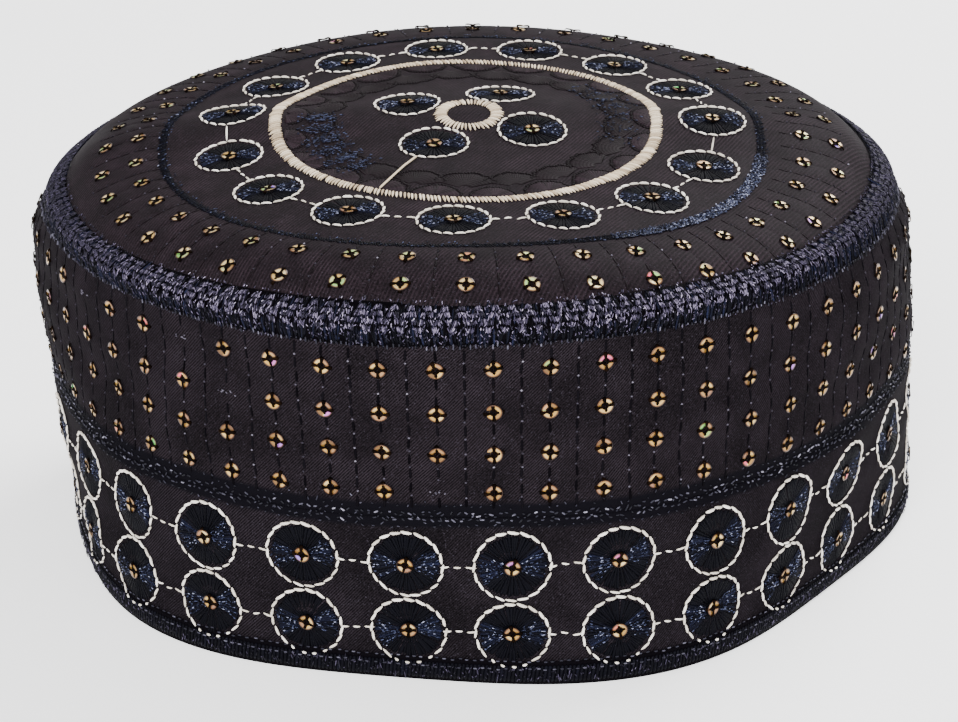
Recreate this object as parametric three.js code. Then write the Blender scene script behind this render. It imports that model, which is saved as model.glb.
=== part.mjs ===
// An embroidered round cap of quilted cloth, in millimetres, +Z up, with its front towards -Y.
// It is soft, so its plan and its height change a little on the way round: a table gives the form
// at twelve directions, and smooth closed curves join them. Directions are measured from the front,
// positive towards +X.
import * as THREE from "three";
import { ParametricGeometry } from "three/addons/geometries/ParametricGeometry.js";

// One row for each direction, in degrees: the seam's radius and height, the hem's radius, and how far
// the wall swells out below the seam.
const stations = [
  { direction: 0, seamRadius: 88.0, seamHeight: 82.0, hemRadius: 81.0, swell: 0.0 },
  { direction: 30, seamRadius: 86.5, seamHeight: 82.0, hemRadius: 86.5, swell: 0.5 },
  { direction: 60, seamRadius: 87.5, seamHeight: 82.5, hemRadius: 86.5, swell: 6.0 },
  { direction: 90, seamRadius: 93.5, seamHeight: 84.0, hemRadius: 101.5, swell: 7.5 },
  { direction: 120, seamRadius: 97.0, seamHeight: 87.0, hemRadius: 107.5, swell: 9.5 },
  { direction: 150, seamRadius: 92.0, seamHeight: 92.5, hemRadius: 94.0, swell: 5.5 },
  { direction: 180, seamRadius: 91.0, seamHeight: 94.5, hemRadius: 91.0, swell: 6.0 },
  { direction: 210, seamRadius: 92.0, seamHeight: 92.0, hemRadius: 91.5, swell: 5.0 },
  { direction: 240, seamRadius: 96.5, seamHeight: 84.5, hemRadius: 99.5, swell: 10.5 },
  { direction: 270, seamRadius: 93.5, seamHeight: 81.5, hemRadius: 93.5, swell: 8.5 },
  { direction: 300, seamRadius: 89.5, seamHeight: 81.0, hemRadius: 90.5, swell: 0.5 },
  { direction: 330, seamRadius: 88.0, seamHeight: 81.0, hemRadius: 84.5, swell: 0.0 },
];

// The middle of the cap's own box, which the origin lies under.
const middle = { x: 2.7, y: 3.4 };
const hemShift = { x: 1, y: 1 }; // the hem lies a little off the seam's own middle
const swellDepth = 0.09; // share of the height over which the swell comes up

// The top: a tilted plane, a lift over it with a puffy outer ring, and a low ridge from left to right.
// Each term of the lift is a value times x to a power times y to a power, in units of the lift's scale.
const crownPlane = { height: 86.5, slopeX: 0.011, slopeY: 0.071 };
const liftTerms = [
  { x: 0, y: 0, value: 11.84 }, { x: 1, y: 0, value: -0.5 }, { x: 0, y: 1, value: 1.7 },
  { x: 2, y: 0, value: -7.4 }, { x: 1, y: 1, value: 1.35 }, { x: 0, y: 2, value: -10.88 },
  { x: 2, y: 1, value: 7.49 }, { x: 0, y: 3, value: -4.17 }, { x: 4, y: 0, value: 8.15 },
  { x: 2, y: 2, value: 17.42 }, { x: 0, y: 4, value: 13.92 }, { x: 2, y: 3, value: -13.97 },
];
const crownRidge = { height: 1.82, place: 4.89, width: 11.61 };
const liftScale = 90;
const edgePower = 8.5; // how late the puffy ring falls to the seam

const cloth = 2;
const bandCloth = 2.4;
const sewnGap = 0.3; // between two pieces that are sewn together
const rim = { crownInset: 3.2, wallDrop: 3.6, endHalf: 1, rollHalf: 1.9 };
const bandTop = 0.52; // share of the height at which the double stitch line runs
const binding = { height: 5.5, proud: 0.5, corner: 0.9, thickness: 3.4 };

const segments = 60;
const rows = { crown: 10, wall: 7, band: 4, rim: 6 };
const rowCrowding = 1.4; // draws a wall's rows together near its top

const radians = THREE.MathUtils.degToRad;

// The smooth closed curve through one column of the table, by trigonometric interpolation.
function around(column, direction) {
  const count = stations.length;
  return stations.reduce((sum, station) => {
    const half = (direction - radians(station.direction)) / 2;
    const atStation = Math.abs(Math.sin(half)) < 1e-9;
    const weight = atStation ? 1 : Math.sin(count * half) / (count * Math.tan(half));
    return sum + weight * station[column];
  }, 0);
}

// A point on the wall's outer face, where share runs from 0 at the seam to 1 at the hem.
function wallPoint(direction, share) {
  const rise = (1 - Math.exp(-share / swellDepth)) * (1 - share);
  const radius = (1 - share) * around("seamRadius", direction)
    + share * around("hemRadius", direction) + rise * around("swell", direction);
  return { radius, height: (1 - share) * around("seamHeight", direction), shift: share };
}

// A point on the crown's upper face, where share runs from 0 at the middle to 1 at the seam.
function crownPoint(direction, share) {
  const seamRadius = around("seamRadius", direction);
  const plane = (radius) => crownPlane.height + radius
    * (crownPlane.slopeX * Math.sin(direction) - crownPlane.slopeY * Math.cos(direction));
  const radius = share * seamRadius;
  const edge = around("seamHeight", direction) - plane(seamRadius);
  const x = radius * Math.sin(direction) / liftScale;
  const y = -radius * Math.cos(direction) / liftScale;
  const ridge = crownRidge.height * Math.exp(-(((y * liftScale - crownRidge.place) / crownRidge.width) ** 2));
  const lift = liftTerms.reduce((sum, term) => sum + term.value * x ** term.x * y ** term.y, ridge);
  const height = plane(radius) + edge * share ** 2 + (1 - share ** edgePower) * lift;
  return { radius, height, shift: 0 };
}

const steps = (count) => Array.from({ length: count + 1 }, (_, index) => index / count);
const moved = ({ radius, height, shift }, outward, up) => ({ radius: radius + outward, height: height + up, shift });
const shareAt = (direction, height) => 1 - height / around("seamHeight", direction);

// The crown's section: its upper face from the middle to the edge, then its under face back.
function crownSection(direction) {
  const edge = 1 - rim.crownInset / around("seamRadius", direction);
  const shares = steps(rows.crown).map((step) => edge * Math.sin(step * Math.PI / 2));
  const upper = shares.map((share) => crownPoint(direction, share));
  const under = upper.map((point) => moved(point, 0, -cloth)).reverse();
  return [...upper, ...under];
}

// A wall's section between two shares of the height: its outer face downwards, then its inner face up.
function wallSection(direction, top, bottom, count, thickness) {
  const shares = steps(count).map((step) => top + (bottom - top) * step ** rowCrowding);
  const outer = shares.map((share) => wallPoint(direction, share));
  const inner = outer.map((point) => moved(point, -thickness, 0)).reverse();
  return [...outer, ...inner];
}

// The rolled seam's section: a bow from the crown's edge to the wall's top, thickest in the middle.
// Its thickness turns from upright at the crown to level at the wall, so both ends lie along the cloth.
function rimSection(direction) {
  const edge = 1 - (rim.crownInset - sewnGap) / around("seamRadius", direction);
  const top = shareAt(direction, around("seamHeight", direction) - rim.wallDrop + sewnGap);
  const start = moved(crownPoint(direction, edge), 0, -cloth / 2);
  const end = moved(wallPoint(direction, top), -cloth / 2, 0);
  const corner = wallPoint(direction, 0);
  const bow = (a, b, c, step) => (1 - step) ** 2 * a + 2 * step * (1 - step) * b + step ** 2 * c;
  const face = (side) => steps(rows.rim).map((step) => {
    const half = side * (rim.endHalf + (rim.rollHalf - rim.endHalf) * Math.sin(Math.PI * step));
    const turn = step * Math.PI / 2;
    const radius = bow(start.radius, corner.radius, end.radius, step) + half * Math.sin(turn);
    const height = bow(start.height, corner.height, end.height, step) + half * Math.cos(turn);
    return { radius, height, shift: top * step };
  });
  return [...face(1), ...face(-1).reverse()];
}

// The hem binding's section: a flat-bottomed strip with eased corners.
function bindingSection(direction) {
  const { height, proud, corner, thickness } = binding;
  const foot = wallPoint(direction, 1);
  const head = wallPoint(direction, shareAt(direction, height));
  return [
    moved(head, proud - corner, 0), moved(head, proud, -corner), moved(foot, proud, corner),
    moved(foot, proud - corner, 0), moved(foot, proud - thickness + corner, 0),
    moved(foot, proud - thickness, corner), moved(head, proud - thickness, -corner),
    moved(head, proud - thickness + corner, 0),
  ];
}

// Carries a section round the cap. A closed section makes a ring, an open one that starts and ends
// on the axis makes a shell.
function carried(section, closed) {
  const corners = section(0).length;
  const strips = closed ? corners : corners - 1;
  const geometry = new ParametricGeometry((turn, along, target) => {
    const direction = 2 * Math.PI * (1 - turn);
    const { radius, height, shift } = section(direction)[Math.round(along * strips) % corners];
    target.set(
      radius * Math.sin(direction) + shift * hemShift.x,
      -radius * Math.cos(direction) + shift * hemShift.y,
      height,
    );
  }, segments, strips);
  geometry.computeVertexNormals();
  return geometry;
}

function piece(name, geometry, color, roughness) {
  const material = new THREE.MeshStandardMaterial({ color, roughness, metalness: 0 });
  const mesh = new THREE.Mesh(geometry, material);
  mesh.name = name;
  return mesh;
}

const bandTopHeight = (direction) => (1 - bandTop) * around("seamHeight", direction);
const wallTop = (direction) => shareAt(direction, around("seamHeight", direction) - rim.wallDrop);
const bandBottom = (direction) => shareAt(direction, binding.height + sewnGap);
const wallBottom = (direction) => shareAt(direction, bandTopHeight(direction) + sewnGap);

const cap = new THREE.Group();
cap.name = "embroidered_round_cap";
cap.position.set(-middle.x, -middle.y, 0);
cap.add(
  piece("crown", carried(crownSection, false), 0x373034, 0.62),
  piece("rim_seam", carried(rimSection, true), 0x2b2942, 0.55),
  piece("side_wall", carried((direction) => wallSection(
    direction, wallTop(direction), wallBottom(direction), rows.wall, cloth), true), 0x2d282c, 0.62),
  piece("lower_band", carried((direction) => wallSection(
    direction, bandTop, bandBottom(direction), rows.band, bandCloth), true), 0x28252c, 0.62),
  piece("hem_binding", carried(bindingSection, true), 0x1e2032, 0.6),
);

export default cap;
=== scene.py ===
# An embroidered round cap of quilted black satin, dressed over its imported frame.
# Lengths are in metres. Directions run round the cap from its front, positive towards +X.
import math

import bpy
import numpy as np
from mathutils import Matrix, Vector


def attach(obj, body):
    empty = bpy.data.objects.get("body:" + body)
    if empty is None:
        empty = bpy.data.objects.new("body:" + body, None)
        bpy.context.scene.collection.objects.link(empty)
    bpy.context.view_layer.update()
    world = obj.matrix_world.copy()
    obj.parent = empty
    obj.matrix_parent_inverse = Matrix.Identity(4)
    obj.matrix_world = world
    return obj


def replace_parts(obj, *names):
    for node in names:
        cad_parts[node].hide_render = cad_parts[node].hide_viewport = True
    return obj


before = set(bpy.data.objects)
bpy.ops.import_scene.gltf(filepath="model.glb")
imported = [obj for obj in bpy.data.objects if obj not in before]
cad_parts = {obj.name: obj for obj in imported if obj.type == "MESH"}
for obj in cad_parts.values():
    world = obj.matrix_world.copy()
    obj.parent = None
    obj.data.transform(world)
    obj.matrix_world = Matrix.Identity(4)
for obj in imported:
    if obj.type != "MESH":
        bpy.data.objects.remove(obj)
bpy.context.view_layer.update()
dice = np.random.default_rng(57)
turn = 2 * math.pi

# The soft form, one row for each direction.
stationColumns = ("direction", "seamRadius", "seamHeight", "hemRadius", "swell")
stations = np.array([
    (0, 0.0880, 0.0820, 0.0810, 0.0000),
    (30, 0.0865, 0.0820, 0.0865, 0.0005),
    (60, 0.0875, 0.0825, 0.0865, 0.0060),
    (90, 0.0935, 0.0840, 0.1015, 0.0075),
    (120, 0.0970, 0.0870, 0.1075, 0.0095),
    (150, 0.0920, 0.0925, 0.0940, 0.0055),
    (180, 0.0910, 0.0945, 0.0910, 0.0060),
    (210, 0.0920, 0.0920, 0.0915, 0.0050),
    (240, 0.0965, 0.0845, 0.0995, 0.0105),
    (270, 0.0935, 0.0815, 0.0935, 0.0085),
    (300, 0.0895, 0.0810, 0.0905, 0.0005),
    (330, 0.0880, 0.0810, 0.0845, 0.0000),
])
form = {
    "middleX": 0.0027, "middleY": 0.0034,  # the seam's own middle, measured from the cap's box
    "hemShift": 0.001,
    "swellDepth": 0.09,  # share of the height over which the swell comes up
    "planeHeight": 0.0865, "planeSlopeX": 0.011, "planeSlopeY": 0.071,
    "ridgeHeight": 0.00182, "ridgePlace": 0.00489, "ridgeWidth": 0.01161,
    "edgePower": 8.5,
}
unit = 0.09  # the radius that turns a direction into a length along the wall
tall = 0.082  # the height that turns a share of the wall into a length down it

# The top's lift over its plane: each value times x to a power times y to a power, both over unit.
liftTerms = (
    (0, 0, 0.01184), (1, 0, -0.0005), (0, 1, 0.0017), (2, 0, -0.0074), (1, 1, 0.00135), (0, 2, -0.01088),
    (2, 1, 0.00749), (0, 3, -0.00417), (4, 0, 0.00815), (2, 2, 0.01742), (0, 4, 0.01392), (2, 3, -0.01397),
)


def around(column, direction):
    # smooth closed curve through a column: each value times sin(12 h) / (12 tan h), h half the turn to it
    count = len(stations)
    half = (direction[..., None] - np.radians(stations[:, 0])) / 2
    atStation = np.abs(np.sin(half)) < 1e-9
    half = np.where(atStation, 1.0, half)
    weight = np.where(atStation, 1.0, np.sin(count * half) / (count * np.tan(half)))
    return weight @ stations[:, stationColumns.index(column)]


def evenly(count):
    # directions at even steps round the cap, from the back round to the back
    return (np.arange(count) / count - 0.5) * turn


def onCircle(radius, direction):
    # polar to flat x, y: radius times sine and minus cosine
    return radius * np.sin(direction), -radius * np.cos(direction)


def upright(radius, direction, height, shift=0.0):
    # the same, moved to the box's middle and by the hem's own shift, with the height
    x, y = onCircle(radius, direction)
    aside = shift * form["hemShift"]
    return np.stack(np.broadcast_arrays(x + aside - form["middleX"], y + aside - form["middleY"], height), -1)


def bell(value, middle, width):
    # exp of minus ((value - middle) / width) squared
    return np.exp(-((value - middle) / width) ** 2)


def ease(value, low, high):
    # smooth step: 3 s^2 - 2 s^3 of the share between low and high
    part = np.clip((value - low) / (high - low), 0, 1)
    return part * part * (3 - 2 * part)


def crownHeight(direction, share):
    # tilted plane, plus the edge's own height by share squared, plus the lift times 1 - share to a power
    seamRadius = around("seamRadius", direction)
    x, y = onCircle(share * seamRadius, direction)
    slope = form["planeSlopeX"] * np.sin(direction) - form["planeSlopeY"] * np.cos(direction)
    edge = around("seamHeight", direction) - form["planeHeight"] - slope * seamRadius
    u, v = x / unit, y / unit
    ridge = form["ridgeHeight"] * bell(y, form["ridgePlace"], form["ridgeWidth"])
    lift = ridge + sum(value * u ** xPower * v ** yPower for xPower, yPower, value in liftTerms)
    plane = form["planeHeight"] + slope * share * seamRadius
    return plane + edge * share ** 2 + (1 - share ** form["edgePower"]) * lift


def crownSheet(x, y):
    # flat x, y over the crown to its point, with share = radius / seam radius
    direction = np.arctan2(x, -y)
    radius = np.hypot(x, y)
    return upright(radius, direction, crownHeight(direction, radius / around("seamRadius", direction)))


def wallSheet(x, y):
    # x along the wall, y up from the seam: seam and hem radius mixed by share, plus swell times
    # (1 - exp(-share / depth)) (1 - share)
    direction, share = x / unit, -y / tall
    rise = (1 - np.exp(-share / form["swellDepth"])) * (1 - share)
    radius = (1 - share) * around("seamRadius", direction) + share * around("hemRadius", direction)
    radius = radius + rise * around("swell", direction)
    return upright(radius, direction, (1 - share) * around("seamHeight", direction), share)


def downAt(direction, height):
    # the wall's y at a height over the floor: minus the share of the seam's height that is left above it
    return (height / around("seamHeight", direction) - 1) * tall


rim = {
    "over": 0.0042, "down": 0.0044,  # the roll's reach over the crown and down the wall
    "proud": 0.0014,
    "inset": 0.72,  # how far inwards a step over the crown's edge goes
    "soften": (-0.0024, -0.0012, 0.0, 0.0012, 0.0024),
    "rows": 17, "thickness": 0.0016,
}


def rimSheet(x, y):
    # y up over the fold from wall to crown: the average of the profile at a few steps round y
    direction = x / unit
    seamRadius = around("seamRadius", direction)

    def profile(step):
        inside = np.maximum(step, 0) * rim["inset"] / seamRadius
        over = upright((1 - inside) * seamRadius, direction, crownHeight(direction, 1 - inside))
        down = wallSheet(x, np.minimum(step, 0))
        return np.where((step > 0)[..., None], over, down)

    return sum(profile(y + step) for step in rim["soften"]) / len(rim["soften"])


def rimRelief(x, y):
    # the roll's height over the fold: cosine squared of the share of its reach
    part = np.clip(np.where(y > 0, y / rim["over"], y / rim["down"]), -1, 1) * math.pi / 2
    return rim["proud"] * np.cos(part) ** 2


def lineGap(angle, table):
    # how far an angle is from the nearest of the evenly spaced lines
    part = (angle - table["first"]) * table["lines"] / turn
    return np.abs(part - np.round(part)) * turn / table["lines"]


quilting = {
    "lines": 96, "first": math.radians(-19.54),  # the wall's stitch lines, every other one with sequins
    "depth": 0.00011, "width": 0.0007, "pitch": 0.0033,
    "top": 0.0046, "end": 0.478,  # from a length below the seam to a share of the height
    "fade": 0.02,
}
crownQuilting = {
    "lines": 80, "first": math.radians(-0.53),
    "depth": 0.00015, "width": 0.0007, "pitch": 0.0031,
    "from": 0.0705, "to": 0.0850, "fade": 0.001,
}
pull = 0.25  # how much deeper a groove is where a stitch pulls
crease = {"direction": math.radians(4.6), "depth": 0.0006, "width": 0.0035}  # one soft upright fold
dents = {"broad": 0.0004, "fine": 0.0003, "crown": 0.0003}
borderRows = (0.509, 0.5305)  # shares of the height of the two clear rows
borderGroove = {"depth": 0.0002, "width": 0.0006}
hem = {"height": 0.0055, "proud": 0.0006, "thickness": 0.0030, "round": 0.0004, "rows": 11, "tone": 0.2}
navy = {
    "radius": 0.0668, "dip": 0.0004, "dipWidth": 0.0026,
    "stitches": 780, "centre": 0.0, "lean": 0.0010, "glints": 2600,
}


def groove(table, gap, along):
    # the depth times a bell over the gap, with a cosine along the line where the stitches pull
    return table["depth"] * bell(gap, 0, table["width"]) * (1 + pull * np.cos(turn * along / table["pitch"]))


def hemBulge(share):
    # the binding stands proud of the wall below its top edge
    top = 1 - hem["height"] / tall
    return hem["proud"] * ease(share, top - 0.006, top + 0.012)


def wallRelief(x, y):
    # soft dents and the hem, less the grooves of the stitch lines, the fold and the border rows
    direction, share = x / unit, -y / tall
    fade = 1 - ease(share, quilting["end"], quilting["end"] + quilting["fade"])
    lift = -groove(quilting, lineGap(direction, quilting) * unit, y + quilting["top"]) * fade
    fold = bell((direction - crease["direction"]) * unit, 0, crease["width"])
    lift = lift - crease["depth"] * fold * ease(share, 0.03, 0.12) * fade
    for row in borderRows:
        lift = lift - borderGroove["depth"] * bell((share - row) * tall, 0, borderGroove["width"])
    soft = dents["broad"] * np.sin(5 * direction + 31 * share) * np.sin(2.3 + 3 * direction - 12 * share)
    soft = soft + dents["fine"] * np.sin(9 * direction - 17 * share + 1.0)
    return lift + soft * ease(share, 0.02, 0.12) * (1 - ease(share, 0.86, 0.93)) + hemBulge(share)


def navyRing(direction):
    # the dark ring's radius: a little off the middle
    return navy["radius"] + 0.0010 * np.cos(direction) - 0.0018 * np.sin(direction)


def crownRelief(x, y):
    # soft dents, less radial grooves near the edge and a dip along the dark ring
    radius, direction = np.hypot(x, y), np.arctan2(x, -y)
    first, last, fade = crownQuilting["from"], crownQuilting["to"], crownQuilting["fade"]
    lines = groove(crownQuilting, lineGap(direction, crownQuilting) * radius, radius)
    lines = lines * ease(radius, first - fade, first + fade)
    lines = lines * (1 - ease(radius, last - 2 * fade, last + fade))
    dip = navy["dip"] * bell(radius, navyRing(direction), navy["dipWidth"])
    soft = dents["crown"] * np.sin(2 * direction + radius * 180) * np.cos(3 * direction - radius * 90)
    return soft * ease(radius, 0.0, 0.03) - lines - dip


# A face is a bare sheet, the relief over it and a name of what lies on it.
wallFace = (wallSheet, wallRelief, "wall_cloth")
bandFace = (wallSheet, wallRelief, "band_cloth")
hemFace = (wallSheet, wallRelief, "hem_thread")
crownFace = (crownSheet, crownRelief, "crown_cloth")
rimFace = (rimSheet, rimRelief, "rim_thread")


def normalsOf(face, x, y, step=2e-4):
    # unit cross product of the bare sheet's slopes along x and y
    sheet = face[0]
    alongX = sheet(x + step, y) - sheet(x - step, y)
    alongY = sheet(x, y + step) - sheet(x, y - step)
    cross = np.cross(alongX, alongY)
    return cross / np.linalg.norm(cross, axis=-1, keepdims=True)


def lifted(face, x, y, over=0.0):
    # the sheet's point plus its relief and a little more along its normal
    x, y, over = np.broadcast_arrays(x, y, over)
    return face[0](x, y) + (face[1](x, y) + over)[..., None] * normalsOf(face, x, y)


def spotsRound(face, centres, spots):
    # true lengths round each centre turned into the face's own x and y by its local stretch
    sheet, step = face[0], 1e-3
    x, y = centres[:, 0], centres[:, 1]
    wide = np.linalg.norm(sheet(x + step, y) - sheet(x - step, y), axis=-1) / (2 * step)
    high = np.linalg.norm(sheet(x, y + step) - sheet(x, y - step), axis=-1) / (2 * step)
    spots = x[:, None] + spots[..., 0] / wide[:, None], y[:, None] + spots[..., 1] / high[:, None]
    return spots[0].ravel(), spots[1].ravel()


def makePiece(name, points, faces, material, uv, tone=None):
    # faces is a list of index arrays with three or four columns; uv has a row for each corner
    mesh = bpy.data.meshes.new(name)
    corners = np.concatenate([block.ravel() for block in faces]).astype(np.int32)
    sizes = np.concatenate([np.full(len(block), block.shape[1]) for block in faces])
    mesh.vertices.add(len(points))
    mesh.vertices.foreach_set("co", points.astype(np.float32).ravel())
    mesh.loops.add(len(corners))
    mesh.loops.foreach_set("vertex_index", corners)
    mesh.polygons.add(len(sizes))
    mesh.polygons.foreach_set("loop_start", (np.cumsum(sizes) - sizes).astype(np.int32))
    mesh.update(calc_edges=True)
    mesh.polygons.foreach_set("use_smooth", np.full(len(sizes), True))
    mesh.uv_layers.new(name="lay").data.foreach_set("uv", uv.astype(np.float32).ravel())
    if tone is not None:
        values = mesh.attributes.new("tone", "FLOAT", "POINT")
        values.data.foreach_set("value", tone.astype(np.float32).ravel())
    mesh.materials.append(material)
    piece = bpy.data.objects.new(name, mesh)
    bpy.context.scene.collection.objects.link(piece)
    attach(piece, "root")
    return piece


def gridFaces(rows, columns, wrapRows):
    # quads between neighbouring rows and columns; columns always wrap
    across = np.arange(columns)
    down = np.arange(rows if wrapRows else rows - 1)
    a = down[:, None] * columns + across
    b = down[:, None] * columns + (across + 1) % columns
    c = (down[:, None] + 1) % rows * columns + (across + 1) % columns
    d = (down[:, None] + 1) % rows * columns + across
    return np.stack([a, d, c, b], -1).reshape(-1, 4)


def gridCorners(u, v, wrapRows, span):
    # the uv of each quad's corners, carried on by span past the last column so that nothing runs back
    wide = np.concatenate([u, u[:, :1] + span], 1)
    high = np.concatenate([v, v[:, :1]], 1)
    flat = np.stack([wide, high], -1)
    below = np.roll(flat, -1, 0) if wrapRows else flat[1:]
    above = flat if wrapRows else flat[:-1]
    return np.stack([above[:, :-1], below[:, :-1], below[:, 1:], above[:, 1:]], 2).reshape(-1, 2)


def endFans(rows, columns):
    # a fan of triangles at each end of a grid, from the two points that follow it
    over = np.arange(columns)
    beside, last = (over + 1) % columns, (rows - 1) * columns
    pole = np.full(columns, rows * columns)
    upper = np.stack([pole, over, beside], 1)
    return np.concatenate([upper, np.stack([pole + 1, last + beside, last + over], 1)])


crowding = np.array((-0.30, -0.15, -0.06, 0.0, 0.06, 0.15, 0.30, 0.5))  # shares of the step between two lines


def columnsOver(table):
    # directions crowded round each stitch line, from the back round to the back
    step = turn / table["lines"]
    start = table["first"] - math.floor((table["first"] + math.pi) / step) * step
    return (start + np.arange(table["lines"])[:, None] * step + crowding * step).ravel()


def clothRing(name, face, direction, rows, thickness, material):
    # a closed ring: the outer face row by row downwards, then the inner face back up
    x, y = np.broadcast_arrays(direction * unit, rows)
    innerY = np.linspace(y[-1], y[0], 7)
    innerX = x[:len(innerY)]
    inner = face[0](innerX, innerY) - thickness * normalsOf(face, innerX, innerY)
    points = np.concatenate([lifted(face, x, y), inner])
    corners = gridCorners(np.concatenate([x, innerX]), np.concatenate([y, innerY]), True, turn * unit)
    faces = gridFaces(len(points), len(direction), True)
    return makePiece(name, points.reshape(-1, 3), [faces], material, corners)


def thread(yarn, width, height, **more):
    # a thread's look: its material and section, then how it bows and dives, and where its rings stand
    return {"yarn": yarn, "width": width, "height": height, "over": 0.0, "arch": 0.0, "dive": 0.0,
            "stops": (0.25, 0.75), "girth": 1.0, "scale": 1.0, "sides": 4, **more}


def tubes(name, path, ups, look, tone):
    # each thread is a small closed tube along its path: rings of an oval section, a point at each end
    count, inner, sides = len(path), path.shape[1] - 2, look["sides"]
    side = np.cross(np.gradient(path, axis=1)[:, 1:-1], ups[:, 1:-1])
    side = side / np.linalg.norm(side, axis=-1, keepdims=True)
    angle = np.arange(sides) / sides * turn + math.pi / 2
    girth = np.broadcast_to(look["scale"], count)[:, None] * np.broadcast_to(look["girth"], inner)
    spread = side[:, :, None] * np.cos(angle)[:, None] * look["width"] / 2
    spread = spread + ups[:, 1:-1, None] * np.sin(angle)[:, None] * look["height"] / 2
    rings = path[:, 1:-1, None] + spread * girth[:, :, None, None]
    points = np.concatenate([rings.reshape(count, -1, 3), path[:, [0, -1]]], 1)
    offset = (np.arange(count) * points.shape[1])[:, None, None]
    faces = [(block + offset).reshape(-1, block.shape[1])
             for block in (gridFaces(inner, sides, False), endFans(inner, sides))]
    over, stops = np.arange(sides), np.array(look["stops"])
    u, v = np.meshgrid(stops, over / sides, indexing="ij")
    wallCorners = gridCorners(u, v, False, 0.0)
    wallCorners[:, 1] = np.tile(np.stack([over, over, over + 1, over + 1], 1).ravel() / sides, inner - 1)
    ends = np.repeat([[0.0, stops[0], stops[0]], [1.0, stops[-1], stops[-1]]], sides, axis=0)
    turns = np.concatenate([np.stack([over, over, over + 1], 1), np.stack([over, over + 1, over], 1)]) / sides
    capCorners = np.stack([ends, turns], -1).reshape(-1, 2)
    length = np.linalg.norm(path[:, 0] - path[:, -1], axis=-1)
    stretch = np.stack([length, np.ones(count)], -1)[:, None]
    uv = np.concatenate([(corners * stretch).reshape(-1, 2) for corners in (wallCorners, capCorners)])
    tone = np.repeat(tone, points.shape[1])
    return makePiece(name, points.reshape(-1, 3), faces, look["yarn"], uv, tone)


def stitches(name, face, a, b, look, tone=None):
    # threads over a face from spot a to b: the path bows up by arch 4 s (1 - s) and its end dives by s^14
    stops = np.array([0.0, *look["stops"], 1.0])
    x = a[0][:, None] * (1 - stops) + b[0][:, None] * stops
    y = a[1][:, None] * (1 - stops) + b[1][:, None] * stops
    bow = look["over"] + look["arch"] * 4 * stops * (1 - stops) - look["dive"] * stops ** 14
    tone = dice.random(len(x)) if tone is None else tone
    return tubes(name, lifted(face, x, y, bow), normalsOf(face, x, y), look, tone)


class Wire:
    # one socket of a node; the operators add Math nodes
    def __init__(self, web, socket):
        self.web = web
        self.socket = socket

    def maths(self, operation, *values):
        return self.web.node("ShaderNodeMath", {"operation": operation}, values)

    def __add__(self, other):
        return self.maths("ADD", self, other)

    def __sub__(self, other):
        return self.maths("SUBTRACT", self, other)

    def __rsub__(self, other):
        return self.maths("SUBTRACT", other, self)

    def __mul__(self, other):
        return self.maths("MULTIPLY", self, other)

    __radd__ = __add__
    __rmul__ = __mul__

    def sine(self):
        return self.maths("SINE", self)

    def within(self, low, high):
        # 0 at low, 1 at high, straight between and level outside
        return self.web.node("ShaderNodeMapRange", {}, [self, low, high, 0.0, 1.0])


def colour(red, green, blue):
    # screen values 0 to 255 to linear light
    part = np.array([red, green, blue]) / 255
    linear = np.where(part > 0.04045, ((part + 0.055) / 1.055) ** 2.4, part / 12.92)
    return (*[float(value) for value in linear], 1.0)


class Web:
    # one material and its nodes
    def __init__(self, name):
        self.material = bpy.data.materials.new(name)
        self.material.use_nodes = True
        self.tree = self.material.node_tree
        self.tree.nodes.clear()

    def node(self, kind, settings, values, out=0):
        # settings first, a ramp's stops among them, then a value or a link for each socket
        made = self.tree.nodes.new(kind)
        for key, setting in settings.items():
            if key == "stops":
                elements = made.color_ramp.elements
                while len(elements) < len(setting):
                    elements.new(0.5)
                for element, (place, shade) in zip(elements, setting):
                    element.position, element.color = place, shade
            else:
                setattr(made, key, setting)
        pairs = values.items() if isinstance(values, dict) else enumerate(values)
        for key, value in pairs:
            if isinstance(value, Wire):
                self.tree.links.new(value.socket, made.inputs[key])
            else:
                made.inputs[key].default_value = value
        return Wire(self, made.outputs[out]) if len(made.outputs) else None

    def lay(self):
        # the piece's own uv as two numbers
        flat = self.node("ShaderNodeUVMap", {"uv_map": "lay"}, {})
        return [self.node("ShaderNodeSeparateXYZ", {}, [flat], part) for part in (0, 1)]

    def noise(self, place, scale, detail):
        return self.node("ShaderNodeTexNoise", {}, {"Vector": place, "Scale": scale, "Detail": detail})

    def place(self):
        # the object's own coordinates
        return self.node("ShaderNodeTexCoord", {}, {}, 3)

    def tone(self):
        # the number that each stitch or petal has of its own
        return self.node("ShaderNodeAttribute", {"attribute_name": "tone"}, {}, 2)

    def mix(self, share, first, second):
        # two colours mixed by a share; each is a link or screen values
        first, second = [part if isinstance(part, Wire) else colour(*part) for part in (first, second)]
        return self.node("ShaderNodeMix", {"data_type": "RGBA"}, {0: share, 6: first, 7: second}, 2)

    def ramp(self, value, stops):
        # colours by value, given as places and screen values
        stops = [(place, colour(*shade)) for place, shade in stops]
        return self.node("ShaderNodeValToRGB", {"stops": stops}, [value])

    def bump(self, height, distance, strength=1.0):
        return self.node("ShaderNodeBump", {}, {"Height": height, "Distance": distance, "Strength": strength})

    def finish(self, **sockets):
        # the shader from its sockets' names, with a low line for each space
        values = {key.replace("_", " "): value for key, value in sockets.items()}
        shader = self.node("ShaderNodeBsdfPrincipled", {}, values)
        self.node("ShaderNodeOutputMaterial", {}, [shader])
        return self.material


# clouds is how strongly the painted sheen on the satin comes and goes in soft patches
crownTwill = {"pitch": 0.0009, "slope": 0.55, "ribs": 0.24, "specular": 0.03, "clouds": 0.7}
wallTwill = {"pitch": 0.00072, "slope": 1.0, "ribs": 0.36, "specular": 0.004, "clouds": 0.3}
lint = (68, 63, 73)


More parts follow.
